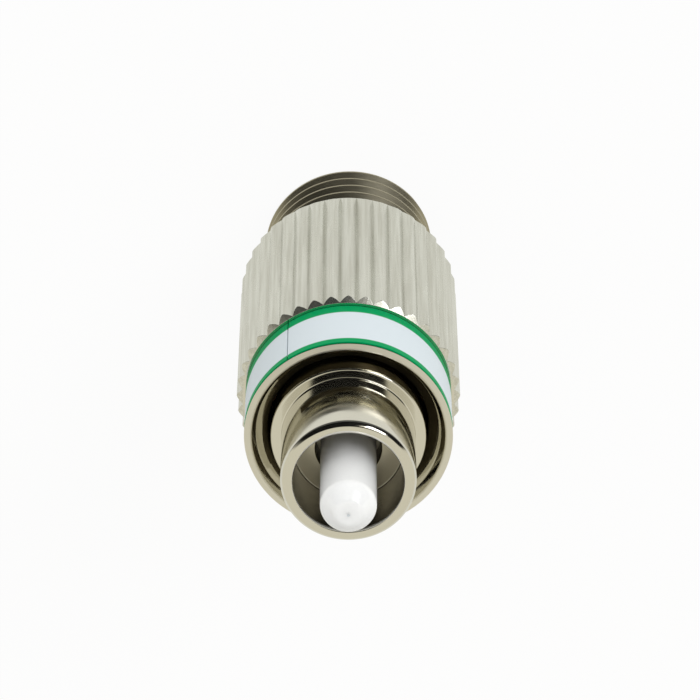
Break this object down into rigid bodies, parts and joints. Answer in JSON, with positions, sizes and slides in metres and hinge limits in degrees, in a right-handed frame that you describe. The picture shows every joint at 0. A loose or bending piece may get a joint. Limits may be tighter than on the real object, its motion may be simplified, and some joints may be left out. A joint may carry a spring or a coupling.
{
  "type": "fibre optic attenuator",
  "caption": "Threaded plug-in fibre optic attenuator: keyed plug with a ceramic ferrule and knurled coupling nut, and a threaded jack with a split sleeve behind.",
  "frame": {"origin": "on the axis, at the jack's mouth, which the part stands on", "axes": "+Z along the axis from the jack to the plug's ferrule, +Y to the plug's key and the jack's key slot"},
  "size_m": [0.0102, 0.0102, 0.0267],
  "materials": {
    "nickel_plated_brass": "bright nickel plate on turned brass",
    "inner_brass": "nickel plate on turned brass",
    "spring_bronze": "nickel-plated spring bronze",
    "spring_steel": "drawn stainless spring wire",
    "zirconia": "ground and polished zirconia",
    "silica_glass": "doped silica fibre",
    "label_film": "white film with green edges"
  },
  "bodies": {
    "housing": {"plug_shell": "nickel_plated_brass", "jack_barrel": "nickel_plated_brass", "sleeve_holder": "inner_brass", "split_sleeve": "zirconia", "spring_stop": "inner_brass", "ferrule_spring": "spring_steel"},
    "ferrule_assembly": {"ferrule": "zirconia", "attenuating_fibre": "silica_glass", "ferrule_flange": "inner_brass"},
    "nut_carrier": {"retaining_ring": "spring_bronze"},
    "nut": {"coupling_nut": "nickel_plated_brass", "label_band": "label_film"}
  },
  "joints": [
    {"name": "ferrule_float", "type": "slide", "parent": "housing", "child": "ferrule_assembly", "axis": [0, 0, 1], "range_m": [-0.0006, 0], "stiffness_N_per_m": 6700, "springref_m": 0.0009, "deforming": ["ferrule_spring"]},
    {"name": "nut_slide", "type": "slide", "parent": "housing", "child": "nut_carrier", "axis": [0, 0, 1], "range_m": [0, 0.004]},
    {"name": "nut_turn", "type": "hinge", "parent": "nut_carrier", "child": "nut", "pos_m": [0, 0, 0.014], "axis": [0, 0, 1], "continuous": true}
  ]
}
